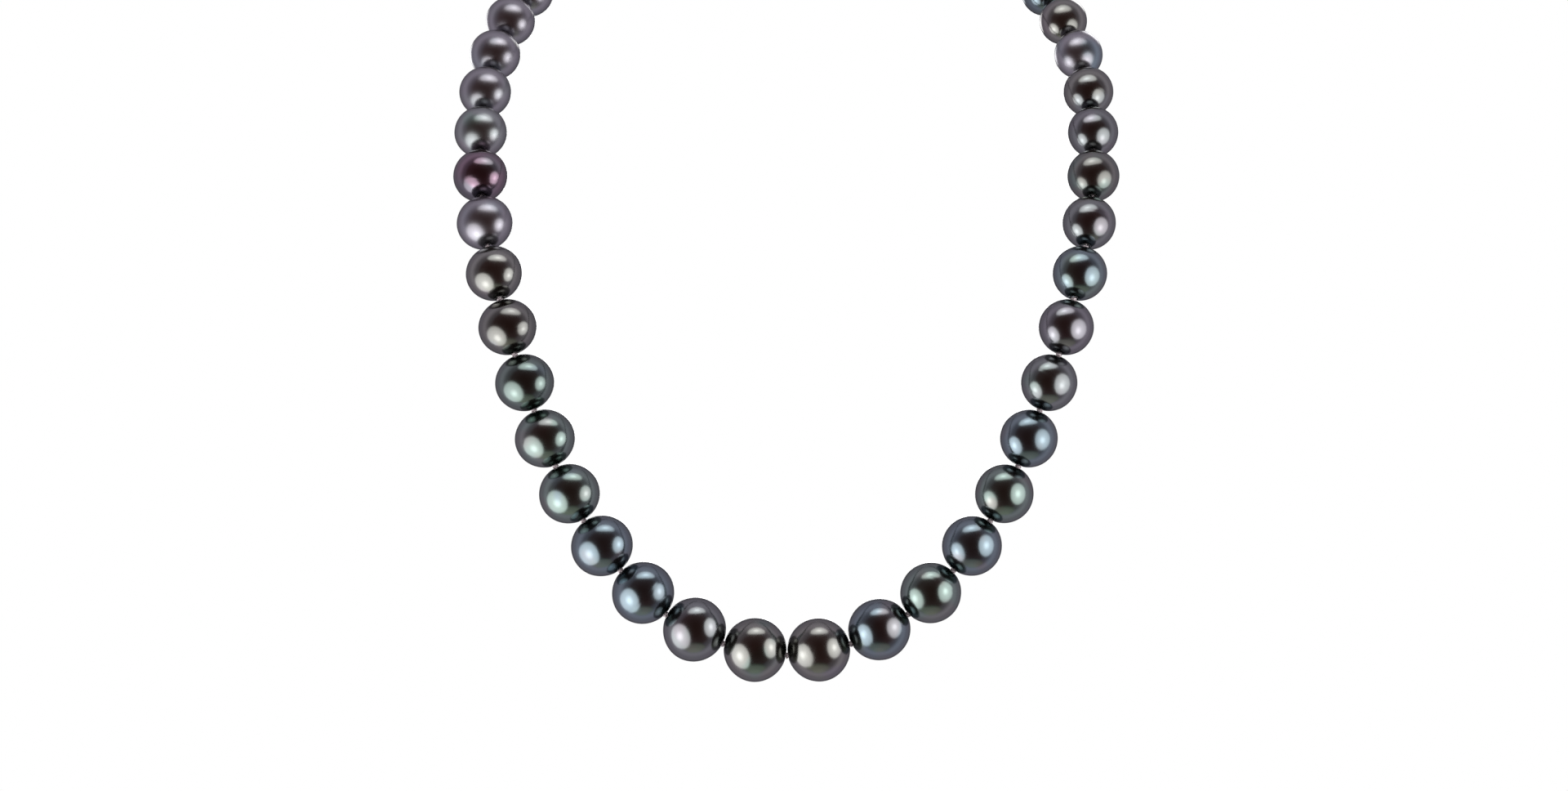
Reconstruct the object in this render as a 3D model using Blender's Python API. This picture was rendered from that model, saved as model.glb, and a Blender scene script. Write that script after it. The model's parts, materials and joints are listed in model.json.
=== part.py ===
"""Pearl necklace, posed as it hangs when it is worn.

A graduated single strand of dark pearls on one knotted silk thread, closed at the nape by a
magnetic clasp of two small beads. Metres, +Z up, +X to the viewer's right, -Y towards the viewer.
The origin is on the axis of the neck that wears it, level with the widest pearls.

The knots are the strand's pivots. Pearl k of a side lies between knot k - 1 and knot k, counted
from knot 0 at the bottom of the front. Both sides share the same route, mirrored in x.
"""
import math

import bmesh
import bpy
from mathutils import Matrix, Vector

MM = 0.001

# The strand.
PEARLS_PER_SIDE = 23
FRONT_ROWS = 8               # pearls of a side that swing at the front, before the shoulders
LARGEST_PEARL = 11.15 * MM
SMALLEST_PEARL = 7.5 * MM
GRADUATION_POWER = 1.35      # how the diameter falls from the largest pearl to the clasp
LARGEST_PLACE = -1.25        # the strand has slid round: its largest pearl hangs left of centre
GRADUATION_REACH = 24        # pearls between the largest and the smallest
DRILLED_LENGTH = 0.985       # each pearl's length along its bore over its diameter
KNOT_GAP = 0.3 * MM          # between two pearls, where the knot shows

# Every pearl's bore.
BORE_RADIUS = 0.45 * MM
COUNTERSINK_RADIUS = 0.85 * MM
COUNTERSINK_DEPTH = 0.4 * MM
PEARL_SEGMENTS = 12
PEARL_ARCS = 5

# The silk.
THREAD_RADIUS = 0.2 * MM
KNOT_RADIUS = 0.58 * MM
KNOT_HALF_WIDTH = 0.2 * MM   # the full part of the knot
KNOT_HALF_LENGTH = 0.5 * MM  # with its tapered ends
SILK_SIDES = 6

# The route of the right half, bottom of the front to the nape, in mm. The front hangs in one
# vertical plane, then the strand runs back over the shoulders and up round the neck.
ROUTE_MM = [
    (0, -40, -83.3), (19, -40, -77.5), (34.8, -40, -60.2), (43.3, -40, -41), (48.2, -40, -25.5),
    (52.5, -32.5, -5.5), (52, -16.5, 17.5), (44.5, 0, 34), (29.5, 26.8, 46), (13, 41, 49.8),
    (0, 43.2, 50.4),
]
STEPS_PER_SPAN = 60
HALVINGS = 40                # to find where one straight length along the route ends
MIRROR = Vector((-1, 1, 1))

# One half of the clasp: a bead with a flat mating face, an eye at its back and a magnet inside.
NAPE = Vector(ROUTE_MM[-1]) * MM
BEAD_RADIUS = 3.0 * MM
FACE_RADIUS = 1.8 * MM
FACE_CLEARANCE = 0.15 * MM   # from the face to the middle plane
POCKET_RADIUS = 1.3 * MM
POCKET_DEPTH = 1.6 * MM
MAGNET_RADIUS = 1.15 * MM
MAGNET_LENGTH = 1.3 * MM
MAGNET_RECESS = 0.1 * MM
EYE_RADIUS = 1.5 * MM        # to the middle of its wire
EYE_WIRE_RADIUS = 0.35 * MM
EYE_SINK = 0.45 * MM         # how deep the eye is soldered into the bead
EYE_WIRE_SIDES = 8
CLASP_SEGMENTS = 16
BEAD_ARCS = 7

# French wire: the fine coiled tube over the silk loop that holds the clasp's eye.
GIMP_RADIUS = 0.4 * MM
GIMP_BORE_RADIUS = 0.3 * MM
GIMP_LOOP_RADIUS = 1.0 * MM  # round the eye's wire, to the middle of the tube
GIMP_END_SPREAD = 0.5 * MM   # of each end from the strand's line, beside the last knot
GIMP_END_SETBACK = 0.65 * MM # of each end from the middle of the last knot
GIMP_ARC_STEPS = 10
GIMP_SIDES = 8

# Finishes, as (colour, metallic, roughness): the nacre's overtones, then the rest.
FINISHES = {
    "nacre_grey": ((0.075, 0.075, 0.08), 0.3, 0.18),
    "nacre_bronze": ((0.085, 0.07, 0.06), 0.3, 0.18),
    "nacre_green": ((0.06, 0.08, 0.07), 0.3, 0.18),
    "nacre_blue": ((0.06, 0.075, 0.09), 0.3, 0.18),
    "nacre_mauve": ((0.12, 0.1, 0.115), 0.3, 0.2),
    "nacre_aubergine": ((0.085, 0.05, 0.075), 0.3, 0.18),
    "silk": ((0.42, 0.4, 0.4), 0, 0.7),
    "french_wire": ((0.7, 0.69, 0.68), 1, 0.3),
    "white_gold": ((0.78, 0.77, 0.75), 1, 0.12),
    "nickel_plate": ((0.62, 0.61, 0.58), 1, 0.25),
}
TONES = {
    "left": "bronze grey blue blue green green green bronze bronze mauve aubergine grey mauve mauve "
            "mauve mauve grey mauve bronze grey mauve grey blue",
    "right": "bronze blue green blue green blue grey mauve blue grey bronze grey bronze mauve "
             "bronze blue grey green mauve grey bronze blue grey",
}
SIDES = {"left": -1, "right": 1}

# Faces that meet at less than these angles are shaded as one smooth surface.
SHARP_DEGREES = 35
SHARP_SILK_DEGREES = 60
SHARP_PEARL_DEGREES = 75
WELD_DISTANCE = 0.001 * MM


def clear_scene():
    for obj in list(bpy.data.objects):
        bpy.data.objects.remove(obj)


def material(name):
    """A finish's Principled BSDF material, made once."""
    made = bpy.data.materials.get(name)
    if made is None:
        colour, metallic, roughness = FINISHES[name]
        made = bpy.data.materials.new(name)
        made.use_nodes = True
        shader = made.node_tree.nodes["Principled BSDF"]
        shader.inputs["Base Color"].default_value = (*colour, 1)
        shader.inputs["Metallic"].default_value = metallic
        shader.inputs["Roughness"].default_value = roughness
    return made


def add_object(name, bm, finish, sharp_degrees=SHARP_DEGREES):
    """Turns a bmesh into a smooth-shaded object with one finish."""
    bmesh.ops.recalc_face_normals(bm, faces=bm.faces)
    mesh = bpy.data.meshes.new(name)
    bm.to_mesh(mesh)
    bm.free()
    mesh.shade_smooth()
    mesh.set_sharp_from_angle(angle=math.radians(sharp_degrees))
    mesh.materials.append(material(finish))
    obj = bpy.data.objects.new(name, mesh)
    bpy.context.collection.objects.link(obj)
    return obj


def place(obj, origin, direction):
    """Puts an object's origin at a point and turns its own +Z to a direction."""
    obj.location = origin
    obj.rotation_mode = "QUATERNION"
    obj.rotation_quaternion = direction.to_track_quat("Z", "Y")


# The route and its knots.

def pearl_width(side, k):
    """The diameter of a side's pearl k, across its bore."""
    distance = abs(side * (k - 0.5) - LARGEST_PLACE)
    share = (1 - distance / GRADUATION_REACH) ** GRADUATION_POWER
    return SMALLEST_PEARL + (LARGEST_PEARL - SMALLEST_PEARL) * share


def pearl_length(k):
    """Along the bore. The two pearls of a pair are matched in it, so that the sides hang level."""
    return DRILLED_LENGTH * (pearl_width(-1, k) + pearl_width(1, k)) / 2


def spline(points):
    """A smooth curve through points that goes on mirrored past both ends."""
    points = [points[1] * MIRROR, *points, points[-2] * MIRROR]
    curve = []
    for i in range(1, len(points) - 2):
        before, start, end, after = points[i - 1:i + 3]
        a = (start - before).length ** 0.5
        b = (end - start).length ** 0.5
        c = (after - end).length ** 0.5
        leave = b * ((start - before) / a - (end - before) / (a + b) + (end - start) / b)
        arrive = b * ((end - start) / b - (after - start) / (b + c) + (after - end) / c)
        for step in range(STEPS_PER_SPAN):
            t = step / STEPS_PER_SPAN
            curve.append(
                (2 * t ** 3 - 3 * t ** 2 + 1) * start
                + (t ** 3 - 2 * t ** 2 + t) * leave
                + (3 * t ** 2 - 2 * t ** 3) * end
                + (t ** 3 - t ** 2) * arrive
            )
    curve.append(points[-2])
    return curve


def step_along(curve, lengths):
    """Points on a curve, each one straight length from the point before."""
    stops = [curve[0]]
    i = 0
    for length in lengths:
        here = stops[-1]
        while (curve[i + 1] - here).length < length:
            i += 1
        low, high = 0.0, 1.0
        for _ in range(HALVINGS):
            middle = (low + high) / 2
            if (curve[i].lerp(curve[i + 1], middle) - here).length < length:
                low = middle
            else:
                high = middle
        stops.append(curve[i].lerp(curve[i + 1], low))
    return stops


def knots_of(side):
    """A side's knots, from knot 0 at the bottom of the front to the last one by the clasp."""
    curve = spline([Vector(point) * MM for point in ROUTE_MM])
    lengths = [pearl_length(k) + KNOT_GAP for k in range(1, PEARLS_PER_SIDE + 1)]
    knots = step_along(curve, lengths)
    return [Vector((side * p.x, p.y, p.z)) for p in knots]


# Solids.

def turned(profile, segments, closed):
    """Spins (radius, height) points round Z. An open profile starts and ends on the axis."""
    bm = bmesh.new()
    ring = [bm.verts.new((radius, 0, height)) for radius, height in profile]
    edges = [bm.edges.new(pair) for pair in zip(ring, ring[1:])]
    if closed:
        edges.append(bm.edges.new((ring[-1], ring[0])))
    bmesh.ops.spin(
        bm, geom=ring + edges, cent=(0, 0, 0), axis=(0, 0, 1),
        angle=2 * math.pi, steps=segments, use_merge=True,
    )
    bmesh.ops.remove_doubles(bm, verts=bm.verts, dist=WELD_DISTANCE)
    return bm


def swept(stations, sides):
    """Rings of vertices, one list for each (point, radius), turned as little as they can be."""
    points = [point for point, _ in stations]
    across = Vector((0, 1, 0))
    rings = []
    for i, (point, radius) in enumerate(stations):
        ahead = points[min(i + 1, len(points) - 1)] - points[max(i - 1, 0)]
        ahead.normalize()
        across = (across - across.project(ahead)).normalized()
        up = ahead.cross(across)
        angles = [2 * math.pi * n / sides for n in range(sides)]
        rings.append([point + radius * (math.cos(a) * across + math.sin(a) * up) for a in angles])
    return rings


def skin(bm, rings):
    """Joins rings of points with four-sided faces. Returns the first and the last ring's vertices."""
    made = [[bm.verts.new(p) for p in ring] for ring in rings]
    for one, other in zip(made, made[1:]):
        for n in range(len(one)):
            m = (n + 1) % len(one)
            bm.faces.new((one[n], one[m], other[m], other[n]))
    return made[0], made[-1]


def make_pearl(name, side, k, pivot, far, tone):
    """A pearl with its drilled and countersunk bore. Its origin is its pivot, the middle of a knot."""
    width = pearl_width(side, k) / 2
    length = pearl_length(k) / 2
    mouth = math.asin(COUNTERSINK_RADIUS / width)
    profile = []
    for n in range(PEARL_ARCS + 1):
        angle = mouth + (math.pi - 2 * mouth) * n / PEARL_ARCS
        profile.append((width * math.sin(angle), length * math.cos(angle)))
    bore = length * math.cos(mouth) - COUNTERSINK_DEPTH
    profile += [(BORE_RADIUS, -bore), (BORE_RADIUS, bore)]
    bm = turned(profile, PEARL_SEGMENTS, closed=True)
    bmesh.ops.translate(bm, verts=bm.verts, vec=(0, 0, (far - pivot).length / 2))
    obj = add_object(name, bm, f"nacre_{tone}", SHARP_PEARL_DEGREES)
    place(obj, pivot, far - pivot)


def make_pearls(side_name, knots):
    """The front pearls pivot on the knot above them, and the others on the knot nearer the front."""
    side = SIDES[side_name]
    for k, tone in enumerate(TONES[side_name].split(), 1):
        front = k <= FRONT_ROWS
        pivot, far = (knots[k], knots[k - 1]) if front else (knots[k - 1], knots[k])
        make_pearl(f"pearl_{side_name}_{k:02d}", side, k, pivot, far, tone)


def knot_stations(knot, before, after):
    """The silk's (point, radius) stations through one knot, on its way between two points."""
    way = ((knot - before).normalized() + (after - knot).normalized()).normalized()
    return [
        (knot - way * KNOT_HALF_LENGTH, THREAD_RADIUS),
        (knot - way * KNOT_HALF_WIDTH, KNOT_RADIUS),
        (knot + way * KNOT_HALF_WIDTH, KNOT_RADIUS),
        (knot + way * KNOT_HALF_LENGTH, THREAD_RADIUS),
    ]


def eye_centre(side):
    face_to_centre = math.sqrt(BEAD_RADIUS ** 2 - FACE_RADIUS ** 2)
    reach = FACE_CLEARANCE + face_to_centre + BEAD_RADIUS + EYE_RADIUS + EYE_WIRE_RADIUS - EYE_SINK
    return Vector((side * reach, NAPE.y, NAPE.z))


def clasp_pivot(side):
    """The middle of the eye's wire where the silk loop holds it."""
    return eye_centre(side) + Vector((side * EYE_RADIUS, 0, 0))


def loop_path(side, last_knot):
    """The silk loop's path, from beside the last knot, round the eye's wire and back."""
    pivot = clasp_pivot(side)
    along = (last_knot - pivot).normalized()
    up = Vector((0, 0, 1))
    reach = (last_knot - pivot).length - GIMP_END_SETBACK
    spread = GIMP_END_SPREAD
    lean = math.atan2(spread, reach)
    touch = lean + math.acos(GIMP_LOOP_RADIUS / math.hypot(reach, spread))
    path = [pivot + along * reach + up * spread]
    for n in range(GIMP_ARC_STEPS + 1):
        angle = touch + (2 * math.pi - 2 * touch) * n / GIMP_ARC_STEPS
        path.append(pivot + GIMP_LOOP_RADIUS * (along * math.cos(angle) + up * math.sin(angle)))
    path.append(pivot + along * reach - up * spread)
    return path


def make_gimp(name, side, last_knot):
    """A hollow tube along the silk loop."""
    path = loop_path(side, last_knot)
    bm = bmesh.new()
    outer = skin(bm, swept([(point, GIMP_RADIUS) for point in path], GIMP_SIDES))
    inner = skin(bm, swept([(point, GIMP_BORE_RADIUS) for point in path], GIMP_SIDES))
    for out_ring, in_ring in zip(outer, inner):
        for n in range(GIMP_SIDES):
            m = (n + 1) % GIMP_SIDES
            bm.faces.new((out_ring[n], out_ring[m], in_ring[m], in_ring[n]))
    pivot = clasp_pivot(side)
    bmesh.ops.translate(bm, verts=bm.verts, vec=-pivot)
    obj = add_object(name, bm, "french_wire")
    obj.location = pivot


def make_silk(left, right):
    """The whole thread: left loop, every knot from nape to front to nape, right loop."""
    left_loop = loop_path(SIDES["left"], left[-1])
    right_loop = loop_path(SIDES["right"], right[-1])
    chain = [left_loop[0], *reversed(left), *right[1:], right_loop[0]]
    stations = [(point, THREAD_RADIUS) for point in reversed(left_loop)]
    for before, knot, after in zip(chain, chain[1:], chain[2:]):
        stations += knot_stations(knot, before, after)
    stations += [(point, THREAD_RADIUS) for point in right_loop]
    bm = bmesh.new()
    first, last = skin(bm, swept(stations, SILK_SIDES))
    bm.faces.new(first)
    bm.faces.new(last)
    add_object("silk_cord", bm, "silk", SHARP_SILK_DEGREES)


def make_clasp_half(side_name):
    """Bead with its eye, and the magnet in the bead's pocket. Both have the eye as their origin."""
    side = SIDES[side_name]
    inward = Vector((-side, 0, 0))
    pivot = clasp_pivot(side)
    face = (pivot - NAPE).length - FACE_CLEARANCE   # from the pivot, along its own +Z
    centre = face - math.sqrt(BEAD_RADIUS ** 2 - FACE_RADIUS ** 2)
    edge = math.asin(FACE_RADIUS / BEAD_RADIUS)
    profile = [
        (0, face - POCKET_DEPTH), (POCKET_RADIUS, face - POCKET_DEPTH), (POCKET_RADIUS, face)
    ]
    for n in range(BEAD_ARCS + 1):
        angle = edge + (math.pi - edge) * n / BEAD_ARCS
        profile.append((BEAD_RADIUS * math.sin(angle), centre + BEAD_RADIUS * math.cos(angle)))
    bead_mesh = turned(profile, CLASP_SEGMENTS, closed=False)
    bead = add_object(f"clasp_bead_{side_name}", bead_mesh, "white_gold")
    place(bead, pivot, inward)

    eye_profile = []
    for n in range(EYE_WIRE_SIDES):
        angle = 2 * math.pi * n / EYE_WIRE_SIDES
        radius = EYE_RADIUS + EYE_WIRE_RADIUS * math.cos(angle)
        eye_profile.append((radius, EYE_WIRE_RADIUS * math.sin(angle)))
    eye_mesh = turned(eye_profile, CLASP_SEGMENTS, closed=True)
    eye = add_object(f"eye_guide_{side_name}", eye_mesh, "white_gold")
    eye.location = eye_centre(side)
    eye.hide_render = True
    eye.display_type = "WIRE"
    join = bead.modifiers.new("soldered_eye", "BOOLEAN")
    join.operation = "UNION"
    join.object = eye

    disc = bmesh.new()
    bmesh.ops.create_cone(
        disc, cap_ends=True, segments=CLASP_SEGMENTS,
        radius1=MAGNET_RADIUS, radius2=MAGNET_RADIUS, depth=MAGNET_LENGTH,
        matrix=Matrix.Translation((0, 0, face - MAGNET_RECESS - MAGNET_LENGTH / 2)),
    )
    magnet = add_object(f"clasp_magnet_{side_name}", disc, "nickel_plate")
    place(magnet, pivot, inward)


clear_scene()
all_knots = {name: knots_of(side) for name, side in SIDES.items()}
for which, strand_knots in all_knots.items():
    make_pearls(which, strand_knots)
    make_gimp(f"gimp_{which}", SIDES[which], strand_knots[-1])
    make_clasp_half(which)
make_silk(all_knots["left"], all_knots["right"])
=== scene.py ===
"""The looks of the knotted pearl necklace: dark lustrous nacre, silk knots and a white gold clasp.

Every pearl's place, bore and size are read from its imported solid. Lengths are metres.
"""
import json
import math
import random

import bpy
import numpy as np
from mathutils import Matrix, Vector, noise

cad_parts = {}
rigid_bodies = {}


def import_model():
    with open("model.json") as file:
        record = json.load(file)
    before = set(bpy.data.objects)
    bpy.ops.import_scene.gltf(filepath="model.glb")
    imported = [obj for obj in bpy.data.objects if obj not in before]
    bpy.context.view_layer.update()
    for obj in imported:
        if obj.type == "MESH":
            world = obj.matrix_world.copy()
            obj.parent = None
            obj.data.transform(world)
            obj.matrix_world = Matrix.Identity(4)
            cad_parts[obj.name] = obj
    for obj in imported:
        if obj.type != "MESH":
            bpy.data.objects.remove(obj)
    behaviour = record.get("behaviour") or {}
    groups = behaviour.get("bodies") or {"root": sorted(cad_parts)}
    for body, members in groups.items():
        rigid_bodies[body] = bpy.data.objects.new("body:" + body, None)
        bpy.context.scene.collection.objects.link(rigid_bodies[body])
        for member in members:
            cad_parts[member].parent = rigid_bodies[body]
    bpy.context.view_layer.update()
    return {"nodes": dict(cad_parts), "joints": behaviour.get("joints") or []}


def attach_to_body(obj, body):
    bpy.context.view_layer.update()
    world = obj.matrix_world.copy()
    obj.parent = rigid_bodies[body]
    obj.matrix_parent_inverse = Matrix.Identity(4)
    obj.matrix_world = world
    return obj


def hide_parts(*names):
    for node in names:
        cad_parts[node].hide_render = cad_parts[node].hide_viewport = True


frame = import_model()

MM = 0.001
SIDES = {"left": -1, "right": 1}
PEARLS_PER_SIDE = 23
FRONT_ROWS = 8               # pearls of a side that swing at the front
SHOULDER_ROWS = 13           # the last pearl of a side that rests on the shoulders
KNOT_GAP = 0.3 * MM          # between two pearls

# The drilled pearl.
BORE_RADIUS = 0.45 * MM
MOUTH_RADIUS = 0.85 * MM
MOUTH_DEPTH = 0.4 * MM
MOUTH_STEPS = 4
CLEAR_OF_BORE = 0.54 * MM    # a CAD pearl's points further than this from its axis are its skin
PEARL_SEGMENTS = 96
PEARL_ARCS = 64

# What keeps a pearl from being a perfect ball. Lengths are shares of its radius, and a pair is the
# least and the most.
OVALS = (0.002, 0.011)
UNEVENNESS = 0.006
UNEVENNESS_RATE = 1.4        # of its noise, over the pearl's directions
UNEVENNESS_SPAN = 50         # each pearl takes its own place in this span of the noise
LINE_COUNTS = (0, 1, 1, 2)   # one of these is how many faint grooves run round the pearl
LINE_TILT = 0.35             # of a groove's axis from the bore, at most
LINE_LEVEL = 0.75            # of a groove from the pearl's middle, at most
LINE_WIDTH = 0.045
LINE_DEPTHS = (0.0012, 0.003)
PIT_COUNTS = (1, 4)
PIT_SIZES = (0.05, 0.11)
PIT_DEPTHS = (0.002, 0.006)
PIT_SPREAD = 0.6             # along the bore, so that fewer pits lie near the mouths

# Colours of each overtone's nacre: two that change into each other over the pearl.
NACRES = {
    "grey": ((0.134, 0.144, 0.147), (0.139, 0.133, 0.144)),
    "bronze": ((0.145, 0.146, 0.136), (0.146, 0.136, 0.136)),
    "green": ((0.12, 0.156, 0.143), (0.132, 0.138, 0.134)),
    "blue": ((0.112, 0.146, 0.166), (0.136, 0.136, 0.144)),
    "mauve": ((0.142, 0.138, 0.153), (0.132, 0.14, 0.155)),
    "aubergine": ((0.165, 0.11, 0.145), (0.12, 0.112, 0.132)),
}
SHADES = {"dark": (0.85, 0.175), "mid": (1.0, 0.18), "pale": (1.4, 0.3)}   # (strength, roughness)

# Each pearl's overtone, the one that shows in patches and its shade, from the front to the nape.
PEARL_LOOKS = {
    "left": (
        "bronze green mid, grey mauve mid, blue green mid, blue green mid, green blue mid, "
        "green bronze mid, green blue dark, bronze blue dark, bronze green mid, mauve grey pale, "
        "aubergine mauve dark, grey green pale, mauve grey pale, mauve bronze pale, "
        "mauve grey pale, mauve grey pale, grey mauve mid, mauve grey pale, bronze mauve mid, "
        "grey blue mid, mauve grey pale, grey green mid, blue mauve mid"
    ),
    "right": (
        "bronze mauve mid, blue green mid, green bronze mid, blue mauve mid, green bronze mid, "
        "blue grey mid, grey green mid, mauve grey mid, blue green mid, grey bronze mid, "
        "bronze green dark, grey mauve mid, bronze grey mid, mauve blue pale, bronze mauve mid, "
        "blue green dark, grey bronze mid, green grey mid, mauve grey pale, grey green mid, "
        "bronze mauve mid, blue grey mid, grey blue mid"
    ),
}
FIRST_SEEDS = {"left": 0, "right": 100}
NACRE_SEED_STEP = 3.7

# The nacre's patches, satin and relief.
NOISE_MIDDLE = (0.3, 0.7)    # between these lies nearly all of a noise
PATCH_SIZE = 7 * MM
PATCH_STOPS = (0.3, 0.43, 0.58, 0.72)
SATIN_SIZE = 4 * MM
SATIN_SWING = 0.03           # of the roughness, each way
RING_SIZE = 0.9 * MM         # of the fine growth rings, along the bore
RING_STRETCH = 0.12          # how much slower they change round the bore
RING_DEPTH = 0.003 * MM
GRAIN_SIZE = 0.35 * MM
GRAIN_DEPTH = 0.0002 * MM
COAT_WEIGHT = 0.3
COAT_ROUGHNESS = 0.14
NACRE_IOR = 1.53

# The silk.
PLY_SIDES = 16
PLY_DEPTH = 0.28             # of the grooves between the thread's two plies, over its radius
PLY_SHARPNESS = 8            # even, and the higher, the narrower the two grooves
TWIST_LENGTH = 1.3 * MM      # one turn of the two plies
THREAD_RADIUS = 0.2 * MM
THREAD_STEP = 0.09 * MM
STRAND_RADIUS = 0.15 * MM    # of the thread where a knot pulls it tight
KNOT_SCALE = 0.15 * MM
KNOT_STEPS = 96
KNOT_TURN = 1.9              # radians from one knot to the next, so that no two look alike
FRONT_KNOT_TURN = 0.4
SILK_COLOURS = [(0.3, (0.33, 0.27, 0.29)), (0.7, (0.52, 0.45, 0.47))]
SILK_PATCH_SIZE = 0.8 * MM
FIBRE_SIZE = 0.05 * MM
FIBRE_DEPTH = 0.02 * MM
SILK_ROUGHNESS = 0.62
SHEEN_WEIGHT = 0.4
SHEEN_ROUGHNESS = 0.4

# The clasp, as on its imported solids.
BEAD_RADIUS = 3.0 * MM
FACE_RADIUS = 1.8 * MM
FACE_CLEARANCE = 0.15 * MM
POCKET_RADIUS = 1.3 * MM
POCKET_DEPTH = 1.6 * MM
MAGNET_RADIUS = 1.15 * MM
MAGNET_LENGTH = 1.3 * MM
MAGNET_RECESS = 0.1 * MM
EYE_RADIUS = 1.5 * MM
EYE_WIRE_RADIUS = 0.35 * MM
EYE_WIRE_SIDES = 24
EDGE_ROUNDING = 0.12 * MM
EDGE_STEPS = 6
TURNED_SEGMENTS = 72
TIP_RADIUS = 0.004 * MM      # of the tiny ring that closes a turned piece on its axis
GROOVE_DEPTH = 0.09 * MM

# The bead's round back, in radians over the bead from the axis of the mating face.
GROOVES = (0.86, 1.14)
GROOVE_WIDTH = 0.16
BACK_START = 0.05            # past the edge of the mating face
BACK_STEP = 0.035
BACK_END = math.pi - 0.02

# The silk loop through the eye, and its French wire.
LOOP_RADIUS = 1.0 * MM
LOOP_END_SPREAD = 0.5 * MM
LOOP_END_SETBACK = 0.65 * MM
LOOP_STEPS = 40
LEAD_STEPS = 6               # from the last knot to the loop's end
COIL_RADIUS = 0.34 * MM
COIL_WIRE_RADIUS = 0.065 * MM
COIL_PITCH = 0.15 * MM
COIL_POINTS_PER_TURN = 14
COIL_SIDES = 8

# Metals: colour, lowest roughness and depth of the scratches.
WHITE_GOLD = ((0.8, 0.78, 0.74), 0.09, 0.0015 * MM)
FRENCH_WIRE = ((0.72, 0.7, 0.67), 0.22, 0.001 * MM)
NICKEL = ((0.6, 0.58, 0.54), 0.18, 0.003 * MM)
WEAR_SIZE = 1.6 * MM
WEAR_DARKENING = 0.9         # of the colour, at its darkest
WEAR_DULLING = 1.9           # of the roughness, at its dullest
SCRATCH_SIZE = 0.12 * MM
SCRATCH_STRETCH = 0.1

# The camera looks level at the front, which hangs in a vertical plane.
DRAPE = -0.040
CAMERA_DISTANCE = 1.0
CAMERA_PLACE = Vector((-0.0005, DRAPE - CAMERA_DISTANCE, -0.0390))
LENS_MM = 134.6
SENSOR_MM = 36

FLOOR_LEVEL = -0.25
FLOOR_RADIUS = 1.5
FLOOR_SIDES = 96
FLOOR_FADE = (0.45 * FLOOR_RADIUS, 0.98 * FLOOR_RADIUS)
FLOOR_COLOURS = [(0.3, (0.8, 0.8, 0.8)), (0.7, (0.84, 0.84, 0.84))]
FLOOR_PATCH_SIZE = 0.2
FLOOR_ROUGHNESS = 0.8

# What the pearls see. Walls go from the viewer's side at 0 to the far side at 1.
WALLS = [
    (0.0, (0.08, 0.035, 0.03)),
    (0.2, (0.13, 0.075, 0.075)),
    (0.36, (0.32, 0.28, 0.32)),
    (0.58, (0.83, 0.76, 0.87)),
    (0.81, (0.44, 0.4, 0.47)),
    (0.94, (0.17, 0.16, 0.185)),
    (1.0, (0.1, 0.1, 0.11)),
]
# A table's glow from straight below, at 0, and a faint ceiling straight above, at 1.
TABLE_AND_CEILING = [
    (0.0, (0.75, 0.75, 0.64)),
    (0.05, (0.55, 0.55, 0.47)),
    (0.16, (0.0, 0.0, 0.0)),
    (0.9, (0.0, 0.0, 0.0)),
    (0.98, (0.4, 0.4, 0.46)),
]

# Soft boxes that face the middle of the front: place, size and power.
FRONT_MIDDLE = Vector((0, DRAPE, -0.055))
SOFT_BOXES = {
    "left": ((-0.115, -0.105, -0.12), (0.215, 0.235), 1.0),
    "right": ((0.145, -0.12, -0.058), (0.195, 0.215), 0.92),
    "top": ((0.012, -0.125, 0.217), (0.36, 0.18), 0.8),
    "behind": ((0.03, 1.1, 0.06), (0.34, 0.4), 1.0),
}
# These light only the pieces at the nape, and so leave the front pearls' rims dark.
NAPE_SOFT_BOXES = {
    "nape_left": ((0.4, 0.85, 0.5), (0.55, 0.6), 0.8),
    "nape_right": ((-0.55, 0.9, 0.02), (0.45, 0.6), 0.8),
}
CLASP_KINDS = ("bead_shell", "eye_ring", "magnet_disc", "french_wire", "silk_loop")
BOX_RADIANCE = 5.6
# Over a box from its middle, at 0, to its edge, at 1.
BOX_GLOW = [
    (0.0, (1.0, 1.0, 1.0)),
    (0.45, (0.5, 0.5, 0.5)),
    (0.78, (0.38, 0.38, 0.38)),
    (1.0, (0.05, 0.05, 0.05)),
]


# The frame's bodies and pearls.

def body_of(side_name, k):
    """The CAD body that holds pearl k of a side."""
    if k <= FRONT_ROWS:
        return f"front_{side_name}_{k:02d}"
    if k <= SHOULDER_ROWS:
        return "neck_rest"
    return f"nape_{side_name}_{k:02d}"


def pearl_of(node):
    """(centre, bore direction, half width, half length) of a CAD pearl, from its points."""
    points = np.array([v.co for v in frame["nodes"][node].data.vertices])
    points = np.unique(points.round(7), axis=0)
    centre = points.mean(axis=0)
    spread = points - centre
    _, directions = np.linalg.eigh(spread.T @ spread)
    bore = directions[:, 2]
    along = spread @ bore
    across = np.linalg.norm(spread - np.outer(along, bore), axis=1)
    skin = across > CLEAR_OF_BORE
    squares = np.stack([across[skin] ** 2, along[skin] ** 2], axis=1)
    fit = np.linalg.lstsq(squares, np.ones(len(squares)), rcond=None)[0]
    return Vector(centre), Vector(bore), fit[0] ** -0.5, fit[1] ** -0.5


def strand_of(side_name):
    """A side's pearls, with each bore pointing on towards the nape."""
    strand = []
    for k in range(1, PEARLS_PER_SIDE + 1):
        strand.append(pearl_of(f"pearl_{side_name}_{k:02d}"))
    turned = []
    for n, (centre, bore, width, length) in enumerate(strand):
        before = strand[max(n - 1, 0)][0]
        after = strand[min(n + 1, PEARLS_PER_SIDE - 1)][0]
        if bore.dot(after - before) < 0:
            bore = -bore
        turned.append((centre, bore, width, length))
    return turned


# Materials.

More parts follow.
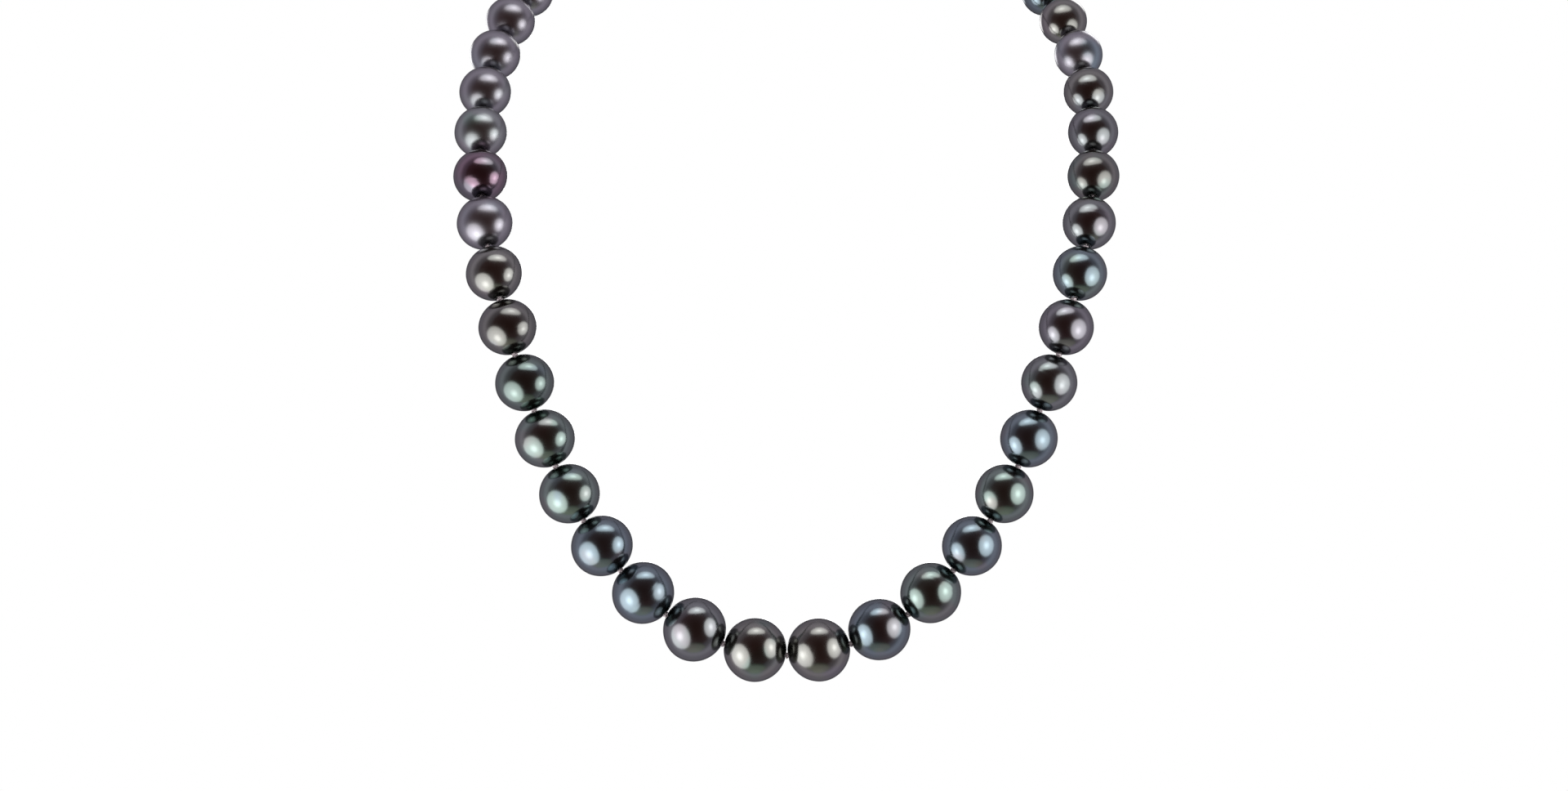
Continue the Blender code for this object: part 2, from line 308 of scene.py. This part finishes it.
def new_material(name):
    made = bpy.data.materials.new(name)
    made.use_nodes = True
    tree = made.node_tree
    return made, tree, tree.nodes["Principled BSDF"]


def add_node(tree, kind, values=None, **settings):
    """A shader node with its settings and the values of its inputs."""
    node = tree.nodes.new(kind)
    for key, value in settings.items():
        setattr(node, key, value)
    for key, value in (values or {}).items():
        node.inputs[key].default_value = value
    return node


def own_place(tree):
    """Where a point lies in its object's own axes."""
    return add_node(tree, "ShaderNodeTexCoord").outputs["Object"]


def stretched(tree, place, scale):
    made = add_node(tree, "ShaderNodeMapping", {"Scale": scale})
    tree.links.new(place, made.inputs["Vector"])
    return made.outputs["Vector"]


def noise_of(tree, place, size, detail, seed):
    """A noise with features of a size, at its own place in the pattern."""
    made = add_node(
        tree, "ShaderNodeTexNoise",
        {"W": seed, "Scale": 1 / size, "Detail": detail, "Roughness": 0.5},
        noise_dimensions="4D",
    )
    tree.links.new(place, made.inputs["Vector"])
    return made.outputs["Fac"]


def ramp_of(tree, factor, stops):
    """A colour ramp with (position, colour) stops."""
    made = add_node(tree, "ShaderNodeValToRGB")
    made.color_ramp.interpolation = "EASE"
    elements = made.color_ramp.elements
    while len(elements) < len(stops):
        elements.new(0.5)
    for element, (position, colour) in zip(elements, stops):
        element.position = position
        element.color = (*colour, 1)
    tree.links.new(factor, made.inputs["Fac"])
    return made.outputs["Color"]


def range_of(tree, value, start, end, low=0.0, high=1.0, **settings):
    """A value whose range from start to end becomes low to high."""
    made = add_node(
        tree, "ShaderNodeMapRange",
        {"From Min": start, "From Max": end, "To Min": low, "To Max": high},
        **settings,
    )
    tree.links.new(value, made.inputs["Value"])
    return made.outputs["Result"]


def bump_of(tree, height, depth, under=None):
    made = add_node(tree, "ShaderNodeBump", {"Strength": 1.0, "Distance": depth})
    tree.links.new(height, made.inputs["Height"])
    if under is not None:
        tree.links.new(under, made.inputs["Normal"])
    return made.outputs["Normal"]


def nacre(name, tone, second, shade, seed):
    """Dark nacre. Patches of two overtones drift over the pearl, and fine rings run round it."""
    made, tree, shader = new_material(name)
    place = own_place(tree)
    strength, roughness = SHADES[shade]
    main, turning = [[strength * c for c in colour] for colour in NACRES[tone]]
    other = [strength * c for c in NACRES[second][0]]
    patches = noise_of(tree, place, PATCH_SIZE, 1.0, seed)
    colour = ramp_of(tree, patches, list(zip(PATCH_STOPS, (turning, main, main, other))))
    tree.links.new(colour, shader.inputs["Base Color"])

    satin = noise_of(tree, place, SATIN_SIZE, 3.0, seed + 7)
    rough = range_of(
        tree, satin, *NOISE_MIDDLE, roughness - SATIN_SWING, roughness + SATIN_SWING
    )
    tree.links.new(rough, shader.inputs["Roughness"])

    round_bore = stretched(tree, place, (RING_STRETCH, RING_STRETCH, 1.0))
    rings = noise_of(tree, round_bore, RING_SIZE, 2.0, seed + 13)
    grain = noise_of(tree, place, GRAIN_SIZE, 2.0, seed + 19)
    relief = bump_of(tree, rings, RING_DEPTH)
    relief = bump_of(tree, grain, GRAIN_DEPTH, relief)
    tree.links.new(relief, shader.inputs["Normal"])

    shader.inputs["Metallic"].default_value = 1.0
    shader.inputs["Coat Weight"].default_value = COAT_WEIGHT
    shader.inputs["Coat Roughness"].default_value = COAT_ROUGHNESS
    shader.inputs["Coat IOR"].default_value = NACRE_IOR
    return made


def silk():
    """Dyed silk thread: soft sheen, a fine fibrous grain and slightly uneven colour."""
    made, tree, shader = new_material("silk_thread")
    place = own_place(tree)
    uneven = noise_of(tree, place, SILK_PATCH_SIZE, 3.0, 1.0)
    tree.links.new(ramp_of(tree, uneven, SILK_COLOURS), shader.inputs["Base Color"])
    fibres = noise_of(tree, place, FIBRE_SIZE, 2.0, 2.0)
    tree.links.new(bump_of(tree, fibres, FIBRE_DEPTH), shader.inputs["Normal"])
    shader.inputs["Roughness"].default_value = SILK_ROUGHNESS
    shader.inputs["Sheen Weight"].default_value = SHEEN_WEIGHT
    shader.inputs["Sheen Roughness"].default_value = SHEEN_ROUGHNESS
    return made


def polished(name, colour, rough, scratch):
    """Polished metal with faint wear: its gloss changes in patches, and fine scratches cross it."""
    made, tree, shader = new_material(name)
    place = own_place(tree)
    wear = noise_of(tree, place, WEAR_SIZE, 3.0, 5.0)
    darkest = [c * WEAR_DARKENING for c in colour]
    shade = ramp_of(tree, wear, list(zip(NOISE_MIDDLE, (darkest, colour))))
    tree.links.new(shade, shader.inputs["Base Color"])
    gloss = range_of(tree, wear, *NOISE_MIDDLE, rough, rough * WEAR_DULLING)
    tree.links.new(gloss, shader.inputs["Roughness"])
    across = stretched(tree, place, (SCRATCH_STRETCH, 1.0, 1.0))
    lines = noise_of(tree, across, SCRATCH_SIZE, 2.0, 8.0)
    tree.links.new(bump_of(tree, lines, scratch), shader.inputs["Normal"])
    shader.inputs["Metallic"].default_value = 1.0
    return made


# Meshes and pieces.

def closed_mesh(name, rings, closed, finish):
    """A mesh of four-sided faces over rings of points, capped at both ends unless it closes."""
    count, sides = rings.shape[:2]
    index = np.arange(count * sides).reshape(count, sides)
    last = count if closed else count - 1
    one = index[np.arange(last)]
    other = index[(np.arange(last) + 1) % count]
    faces = np.stack([one, np.roll(one, -1, 1), np.roll(other, -1, 1), other], axis=2)
    faces = faces.reshape(-1, 4).tolist()
    if not closed:
        faces += [index[0][::-1].tolist(), index[-1].tolist()]
    mesh = bpy.data.meshes.new(name)
    mesh.from_pydata(rings.reshape(-1, 3).tolist(), [], faces)
    mesh.update()
    mesh.shade_smooth()
    mesh.materials.append(finish)
    return mesh


def turned_rings(profile, segments=TURNED_SEGMENTS):
    """Rings round Z for (radius, height) points. A radius of 0 closes to a tiny ring."""
    turns = 2 * math.pi * np.arange(segments) / segments
    rings = []
    for radius, height in profile:
        radius = max(radius, TIP_RADIUS)
        rings.append(np.stack(
            [radius * np.cos(turns), radius * np.sin(turns), np.full(segments, height)], axis=1
        ))
    return np.array(rings)


def tube(points, acrosses, radius, sides, twist_length=None):
    """Rings of points round a path. A twist length gives the two plies of a thread."""
    rings = []
    run = 0.0
    turns = 2 * math.pi * np.arange(sides) / sides
    count = len(points)
    for i, (point, across) in enumerate(zip(points, acrosses)):
        ahead = (points[min(i + 1, count - 1)] - points[max(i - 1, 0)]).normalized()
        across = (across - across.project(ahead)).normalized()
        beside = ahead.cross(across)
        reach = np.full(sides, radius)
        if twist_length is not None:
            if i:
                run += (point - points[i - 1]).length
            phase = 2 * math.pi * run / twist_length
            reach = radius * (1 - PLY_DEPTH * np.cos(turns - phase) ** PLY_SHARPNESS)
        ring = np.array(point) + np.outer(reach * np.cos(turns), across)
        rings.append(ring + np.outer(reach * np.sin(turns), beside))
    return np.array(rings)


def shown(data):
    """A new object of the scene for a mesh, a light or a camera."""
    obj = bpy.data.objects.new(data.name, data)
    bpy.context.scene.collection.objects.link(obj)
    return obj


def attach(obj, body, slot, *nodes):
    """Makes an object a piece that rides on a body and is seen in place of CAD nodes."""
    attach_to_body(obj, body)
    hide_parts(*nodes)


# The pearls.

def round_profile(width, length):
    """(radius, height) points of a drilled pearl: the outside, then one mouth, bore and mouth."""
    mouth = math.asin(MOUTH_RADIUS / width)
    outside = []
    for n in range(PEARL_ARCS + 1):
        angle = mouth + (math.pi - 2 * mouth) * n / PEARL_ARCS
        outside.append((width * math.sin(angle), length * math.cos(angle)))
    edge = length * math.cos(mouth)
    slope = (MOUTH_RADIUS - BORE_RADIUS) / MOUTH_DEPTH
    lip = []
    for n in range(1, MOUTH_STEPS + 1):
        depth = MOUTH_DEPTH * n / MOUTH_STEPS
        lip.append((MOUTH_RADIUS - slope * depth, edge - depth))
    lower_lip = [(radius, -height) for radius, height in lip]
    return outside, lower_lip + lip[::-1]


def blemishes(rng):
    """What keeps one pearl from being a perfect ball: an oval body, grooves and small pits."""
    pull = Vector((rng.uniform(-1, 1), rng.uniform(-1, 1), 0)).normalized()
    lines = []
    for _ in range(rng.choice(LINE_COUNTS)):
        tilt = (rng.uniform(-LINE_TILT, LINE_TILT), rng.uniform(-LINE_TILT, LINE_TILT), 1)
        level = rng.uniform(-LINE_LEVEL, LINE_LEVEL)
        lines.append((Vector(tilt).normalized(), level, rng.uniform(*LINE_DEPTHS)))
    pits = []
    for _ in range(rng.randint(*PIT_COUNTS)):
        spot = Vector((rng.gauss(0, 1), rng.gauss(0, 1), rng.gauss(0, PIT_SPREAD))).normalized()
        pits.append((spot, rng.uniform(*PIT_SIZES), rng.uniform(*PIT_DEPTHS)))
    oval = rng.uniform(*OVALS)
    return pull, oval, lines, pits, rng.uniform(0, UNEVENNESS_SPAN)


def swell(direction, marks):
    """How far the skin stands from the plain ball, as a share of its radius."""
    pull, oval, lines, pits, noise_place = marks
    clear_of_mouths = 1 - direction.z ** 4
    height = oval * (2 * direction.dot(pull) ** 2 - 1)
    uneven = noise.noise(direction * UNEVENNESS_RATE + Vector((noise_place, 0, 0)))
    height += UNEVENNESS * uneven
    for axis, level, depth in lines:
        height -= depth * math.exp(-((direction.dot(axis) - level) / LINE_WIDTH) ** 2)
    for spot, size, depth in pits:
        height -= depth * math.exp(-((direction - spot).length / size) ** 2)
    return height * clear_of_mouths


def make_pearl(side_name, k, pearl, look):
    """A pearl with a shape and a nacre of its own."""
    centre, bore, width, length = pearl
    tone, second, shade = look.split()
    label = f"{side_name}_{k:02d}"
    seed = FIRST_SEEDS[side_name] + k
    finish = nacre(f"nacre_{tone}_{label}", tone, second, shade, seed * NACRE_SEED_STEP)
    marks = blemishes(random.Random(seed))
    outside, inside = round_profile(width, length)
    rings = turned_rings(outside + inside, PEARL_SEGMENTS)
    for ring in rings[:len(outside)]:
        for n, point in enumerate(ring):
            ring[n] = point * (1 + swell(Vector(point).normalized(), marks))
    obj = shown(closed_mesh(f"nacre_{label}", rings[::-1], True, finish))
    obj.rotation_mode = "QUATERNION"
    obj.rotation_quaternion = bore.to_track_quat("Z", "Y")
    obj.location = centre
    attach(obj, body_of(side_name, k), f"nacre_{tone}", f"pearl_{label}")


# The silk, one length of thread through each pearl and a knot at each of its ends.

def knot_rings():
    """A tight knot round its own Z, the thread's direction: a trefoil of twisted thread."""
    points, acrosses = [], []
    for n in range(KNOT_STEPS + 1):
        t = 2 * math.pi * n / KNOT_STEPS
        ring = 2 + math.cos(3 * t)
        points.append(
            Vector((ring * math.cos(2 * t), ring * math.sin(2 * t), math.sin(3 * t))) * KNOT_SCALE
        )
        acrosses.append(Vector((
            math.cos(3 * t) * math.cos(2 * t), math.cos(3 * t) * math.sin(2 * t), math.sin(3 * t)
        )))
    length = sum((b - a).length for a, b in zip(points, points[1:]))
    turns_of_twist = round(length / TWIST_LENGTH)
    rings = tube(points, acrosses, STRAND_RADIUS, PLY_SIDES, length / turns_of_twist)
    return rings[:-1]


def make_knot(name, place, direction, roll, body, finish):
    mesh = closed_mesh(name, knot_rings(), True, finish)
    turn = direction.to_track_quat("Z", "Y").to_matrix() @ Matrix.Rotation(roll, 3, "Z")
    mesh.transform(Matrix.Translation(place) @ turn.to_4x4())
    attach(shown(mesh), body, "silk", "silk_cord")


def make_thread(name, start, end, body, finish):
    count = math.ceil((end - start).length / THREAD_STEP)
    points = [start.lerp(end, n / count) for n in range(count + 1)]
    across = (end - start).orthogonal()
    rings = tube(points, [across] * len(points), THREAD_RADIUS, PLY_SIDES, TWIST_LENGTH)
    mesh = closed_mesh(name, rings, False, finish)
    attach(shown(mesh), body, "silk", "silk_cord")


def knot_body(side_name, k):
    """A knot goes with the pearl that turns on it."""
    return body_of(side_name, k if k < SHOULDER_ROWS else min(k + 1, PEARLS_PER_SIDE))


def ends_of(pearl):
    """The middles of the knots before and after a pearl."""
    centre, bore, _, length = pearl
    reach = bore * (length + KNOT_GAP / 2)
    return centre - reach, centre + reach


def make_silk_of(side_name, strand, finish):
    """A side's threads and the knots after its pearls. Gives the last knot's place."""
    for k, pearl in enumerate(strand, 1):
        start, end = ends_of(pearl)
        label = f"{side_name}_{k:02d}"
        make_thread(f"thread_{label}", start, end, body_of(side_name, k), finish)
        following = strand[k][1] if k < PEARLS_PER_SIDE else pearl[1]
        direction = (pearl[1] + following).normalized()
        make_knot(f"knot_{label}", end, direction, k * KNOT_TURN, knot_body(side_name, k), finish)
    return end


# The silk loop at each end of the strand, and its French wire.

def loop_path(pivot, last_knot):
    """(points, sideways) of the silk loop: from the last knot round the eye's wire and back."""
    along = (last_knot - pivot).normalized()
    up = Vector((0, 0, 1))
    reach = (last_knot - pivot).length - LOOP_END_SETBACK
    touch = math.atan2(LOOP_END_SPREAD, reach)
    touch += math.acos(LOOP_RADIUS / math.hypot(reach, LOOP_END_SPREAD))
    far = pivot + along * reach
    arc = []
    for n in range(LOOP_STEPS + 1):
        angle = touch + (2 * math.pi - 2 * touch) * n / LOOP_STEPS
        arc.append(pivot + LOOP_RADIUS * (along * math.cos(angle) + up * math.sin(angle)))
    start, end = far + up * LOOP_END_SPREAD, far - up * LOOP_END_SPREAD
    straight = LOOP_STEPS // 2
    path = [start.lerp(arc[0], n / straight) for n in range(straight)] + arc
    path += [arc[-1].lerp(end, n / straight) for n in range(1, straight + 1)]
    return path, along.cross(up)


def make_french_wire(side_name, pivot, last_knot, finish):
    """Fine wire coiled closely over the whole silk loop."""
    path, sideways = loop_path(pivot, last_knot)
    runs = [0.0]
    for before, after in zip(path, path[1:]):
        runs.append(runs[-1] + (after - before).length)
    turns = int(runs[-1] / COIL_PITCH)
    count = turns * COIL_POINTS_PER_TURN
    spots = np.linspace(0, runs[-1], count + 1)
    line = np.array([[p[axis] for p in path] for axis in range(3)])
    line = np.stack([np.interp(spots, runs, line[axis]) for axis in range(3)], axis=1)
    coil, acrosses = [], []
    for n, spot in enumerate(line):
        ahead = Vector(line[min(n + 1, count)] - line[max(n - 1, 0)]).normalized()
        outward = sideways.cross(ahead).normalized()
        angle = 2 * math.pi * n / COIL_POINTS_PER_TURN
        reach = outward * math.cos(angle) + sideways * math.sin(angle)
        coil.append(Vector(spot) + reach * COIL_RADIUS)
        acrosses.append(reach)
    rings = tube(coil, acrosses, COIL_WIRE_RADIUS, COIL_SIDES)
    mesh = closed_mesh(f"french_wire_{side_name}", rings, False, finish)
    attach(shown(mesh), body_of(side_name, PEARLS_PER_SIDE), "french_wire", f"gimp_{side_name}")


def make_silk_loop(side_name, pivot, last_knot, finish):
    """The thread inside the French wire, and its ends that go into the last knot."""
    path, sideways = loop_path(pivot, last_knot)
    path = (
        [last_knot.lerp(path[0], n / LEAD_STEPS) for n in range(LEAD_STEPS)] + path
        + [path[-1].lerp(last_knot, n / LEAD_STEPS) for n in range(1, LEAD_STEPS + 1)]
    )
    rings = tube(path, [sideways] * len(path), THREAD_RADIUS, PLY_SIDES, TWIST_LENGTH)
    mesh = closed_mesh(f"silk_loop_{side_name}", rings, False, finish)
    attach(shown(mesh), body_of(side_name, PEARLS_PER_SIDE), "silk", "silk_cord")


# The clasp.

def rounded(before, corner, after):
    """Points of an arc that rounds a profile's corner."""
    before, corner, after = (np.array(p, float) for p in (before, corner, after))
    to_before = (before - corner) / np.linalg.norm(before - corner)
    to_after = (after - corner) / np.linalg.norm(after - corner)
    start, end = corner + to_before * EDGE_ROUNDING, corner + to_after * EDGE_ROUNDING
    points = []
    for n in range(EDGE_STEPS + 1):
        t = n / EDGE_STEPS
        points.append(tuple((1 - t) ** 2 * start + 2 * t * (1 - t) * corner + t ** 2 * end))
    return points


def bead_profile(face):
    """One half of the clasp, from the pocket's floor over the mating face to the back."""
    centre = face - math.sqrt(BEAD_RADIUS ** 2 - FACE_RADIUS ** 2)
    floor = face - POCKET_DEPTH
    over = [math.asin(FACE_RADIUS / BEAD_RADIUS) + BACK_START]
    while over[-1] < BACK_END:
        over.append(over[-1] + BACK_STEP)
    back = []
    for angle in over:
        radius = BEAD_RADIUS
        for groove in GROOVES:
            radius -= GROOVE_DEPTH * math.exp(-((angle - groove) / (GROOVE_WIDTH / 2)) ** 2)
        back.append((radius * math.sin(angle), centre + radius * math.cos(angle)))
    brink = (BEAD_RADIUS * math.sin(over[0]), centre + BEAD_RADIUS * math.cos(over[0]))
    corners = [
        (0, floor), (POCKET_RADIUS, floor), (POCKET_RADIUS, face), (FACE_RADIUS, face), brink
    ]
    profile = corners[:1]
    for before, corner, after in zip(corners, corners[1:], corners[2:]):
        profile += rounded(before, corner, after)
    return profile + back + [(0, centre - BEAD_RADIUS)]


def magnet_profile(face):
    top = face - MAGNET_RECESS
    low = top - MAGNET_LENGTH
    corners = [(0, low), (MAGNET_RADIUS, low), (MAGNET_RADIUS, top), (0, top)]
    return corners[:1] + rounded(*corners[:3]) + rounded(*corners[1:]) + corners[3:]


def make_clasp_half(side_name, pivot, gold, nickel):
    side = SIDES[side_name]
    inward = Matrix.Translation(pivot) @ Matrix.Rotation(-side * math.pi / 2, 4, "Y")
    face = abs(pivot.x) - FACE_CLEARANCE
    body = f"clasp_{side_name}"
    rings = turned_rings(bead_profile(face))[::-1]
    shell = closed_mesh(f"bead_shell_{side_name}", rings, False, gold)
    shell.transform(inward)
    attach(shown(shell), body, "white_gold", f"clasp_bead_{side_name}")
    rings = turned_rings(magnet_profile(face))
    magnet = closed_mesh(f"magnet_disc_{side_name}", rings, False, nickel)
    magnet.transform(inward)
    attach(shown(magnet), body, "nickel_plate", f"clasp_magnet_{side_name}")
    circle = []
    for n in range(EYE_WIRE_SIDES):
        angle = 2 * math.pi * n / EYE_WIRE_SIDES
        circle.append((
            EYE_RADIUS + EYE_WIRE_RADIUS * math.cos(angle), EYE_WIRE_RADIUS * math.sin(angle)
        ))
    eye = closed_mesh(f"eye_ring_{side_name}", turned_rings(circle), True, gold)
    eye.transform(Matrix.Translation(pivot - Vector((side * EYE_RADIUS, 0, 0))))
    attach(shown(eye), body, "white_gold", f"clasp_bead_{side_name}")


# The studio.

def make_camera():
    lens = bpy.data.cameras.new("camera")
    lens.lens = LENS_MM
    lens.sensor_width = SENSOR_MM
    camera = shown(lens)
    camera.location = CAMERA_PLACE
    camera.rotation_euler = (math.radians(90), 0, 0)
    bpy.context.scene.camera = camera


def floor_finish():
    """Pale and slightly uneven, and it fades away towards its rim."""
    made, tree, shader = new_material("floor")
    place = own_place(tree)
    cloud = noise_of(tree, place, FLOOR_PATCH_SIZE, 2.0, 0.0)
    tree.links.new(ramp_of(tree, cloud, FLOOR_COLOURS), shader.inputs["Base Color"])
    shader.inputs["Roughness"].default_value = FLOOR_ROUGHNESS
    far = add_node(tree, "ShaderNodeVectorMath", operation="LENGTH")
    tree.links.new(place, far.inputs[0])
    fade = range_of(tree, far.outputs["Value"], *FLOOR_FADE, interpolation_type="SMOOTHSTEP")
    clear = add_node(tree, "ShaderNodeBsdfTransparent")
    mix = add_node(tree, "ShaderNodeMixShader")
    tree.links.new(fade, mix.inputs[0])
    tree.links.new(shader.outputs["BSDF"], mix.inputs[1])
    tree.links.new(clear.outputs["BSDF"], mix.inputs[2])
    tree.links.new(mix.outputs["Shader"], tree.nodes["Material Output"].inputs["Surface"])
    return made


def make_floor():
    """A pale round floor that fades into the white around it."""
    turns = [2 * math.pi * n / FLOOR_SIDES for n in range(FLOOR_SIDES)]
    mesh = bpy.data.meshes.new("floor")
    mesh.from_pydata(
        [(FLOOR_RADIUS * math.cos(a), FLOOR_RADIUS * math.sin(a), 0) for a in turns], [],
        [list(range(FLOOR_SIDES))],
    )
    mesh.materials.append(floor_finish())
    floor = shown(mesh)
    floor.location = (0, 0, FLOOR_LEVEL)
    floor.visible_glossy = False


def make_world():
    """White behind everything. The pearls see pale walls with the dark side where the viewer is."""
    world = bpy.data.worlds.new("studio")
    bpy.context.scene.world = world
    world.use_nodes = True
    tree = world.node_tree
    tree.nodes.clear()
    towards = add_node(tree, "ShaderNodeTexCoord").outputs["Generated"]
    split = add_node(tree, "ShaderNodeSeparateXYZ")
    tree.links.new(towards, split.inputs["Vector"])
    walls = ramp_of(tree, range_of(tree, split.outputs["Y"], -1.0, 1.0), WALLS)
    table = ramp_of(tree, range_of(tree, split.outputs["Z"], -1.0, 1.0), TABLE_AND_CEILING)
    both = add_node(
        tree, "ShaderNodeMix", {"Factor": 1.0}, data_type="RGBA", blend_type="LIGHTEN"
    )
    tree.links.new(walls, both.inputs["A"])
    tree.links.new(table, both.inputs["B"])
    around = add_node(tree, "ShaderNodeBackground")
    tree.links.new(both.outputs["Result"], around.inputs["Color"])
    white = add_node(tree, "ShaderNodeBackground", {"Color": (1, 1, 1, 1)})
    seen = add_node(tree, "ShaderNodeLightPath")
    plain = add_node(tree, "ShaderNodeMath", operation="MAXIMUM")
    tree.links.new(seen.outputs["Is Camera Ray"], plain.inputs[0])
    tree.links.new(seen.outputs["Is Diffuse Ray"], plain.inputs[1])
    mix = add_node(tree, "ShaderNodeMixShader")
    out = add_node(tree, "ShaderNodeOutputWorld")
    tree.links.new(plain.outputs["Value"], mix.inputs[0])
    tree.links.new(around.outputs["Background"], mix.inputs[1])
    tree.links.new(white.outputs["Background"], mix.inputs[2])
    tree.links.new(mix.outputs["Shader"], out.inputs["Surface"])


def nape_collection():
    """The pieces behind the shoulders: the nape's pearls with their silk, and the clasp."""
    clasp = [f"{kind}_{side_name}" for kind in CLASP_KINDS for side_name in SIDES]
    made = bpy.data.collections.new("nape_pieces")
    for obj in list(bpy.context.scene.objects):
        number = obj.name.rsplit("_", 1)[-1]
        past_shoulders = number.isdigit() and int(number) > SHOULDER_ROWS
        if obj.name not in frame["nodes"] and (past_shoulders or obj.name in clasp):
            made.objects.link(obj)
    return made


def make_soft_box(name, place, size, power, lit=None):
    """A soft box that the camera doesn't see: brightest in the middle, and soft at its edge.

    It lights only the pieces of a collection, or everything.
    """
    light = bpy.data.lights.new(f"soft_box_{name}", "AREA")
    light.shape = "ELLIPSE"
    light.size, light.size_y = size
    light.energy = power * BOX_RADIANCE * math.pi * size[0] * size[1]
    light.use_nodes = True
    tree = light.node_tree
    across = add_node(tree, "ShaderNodeNewGeometry").outputs["Parametric"]
    middle = add_node(tree, "ShaderNodeVectorMath", {1: (0.5, 0.5, 0)}, operation="SUBTRACT")
    tree.links.new(across, middle.inputs[0])
    out = add_node(tree, "ShaderNodeVectorMath", operation="LENGTH")
    tree.links.new(middle.outputs["Vector"], out.inputs[0])
    share = add_node(tree, "ShaderNodeMath", {1: 2.0}, operation="MULTIPLY")
    tree.links.new(out.outputs["Value"], share.inputs[0])
    glow = ramp_of(tree, share.outputs["Value"], BOX_GLOW)
    tree.links.new(glow, tree.nodes["Emission"].inputs["Color"])
    obj = shown(light)
    obj.location = place
    obj.rotation_mode = "QUATERNION"
    obj.rotation_quaternion = (FRONT_MIDDLE - Vector(place)).to_track_quat("-Z", "Y")
    obj.visible_camera = False
    if lit is not None:
        obj.light_linking.receiver_collection = lit


# The necklace.

strands = {side_name: strand_of(side_name) for side_name in SIDES}
for side_name, strand in strands.items():
    looks = PEARL_LOOKS[side_name].split(", ")
    for k, (pearl, look) in enumerate(zip(strand, looks), 1):
        make_pearl(side_name, k, pearl, look)

silk_thread = silk()
last_knots = {}
for side_name, strand in strands.items():
    last_knots[side_name] = make_silk_of(side_name, strand, silk_thread)
front_knot, _ = ends_of(strands["left"][0])
make_knot(
    "knot_front", front_knot, Vector((1, 0, 0)), FRONT_KNOT_TURN, body_of("left", 1), silk_thread
)

gold = polished("white_gold_polish", *WHITE_GOLD)
wire = polished("french_wire_polish", *FRENCH_WIRE)
nickel = polished("nickel_polish", *NICKEL)
pivots = {joint["child"]: Vector(joint["pos_m"]) for joint in frame["joints"]}
for side_name, last_knot in last_knots.items():
    pivot = pivots[f"clasp_{side_name}"]
    make_french_wire(side_name, pivot, last_knot, wire)
    make_silk_loop(side_name, pivot, last_knot, silk_thread)
    make_clasp_half(side_name, pivot, gold, nickel)

# Its surroundings.

make_camera()
make_world()
make_floor()
nape_pieces = nape_collection()
for name, box in SOFT_BOXES.items():
    make_soft_box(name, *box)
for name, box in NAPE_SOFT_BOXES.items():
    make_soft_box(name, *box, nape_pieces)
bpy.context.scene.view_settings.view_transform = "Standard"
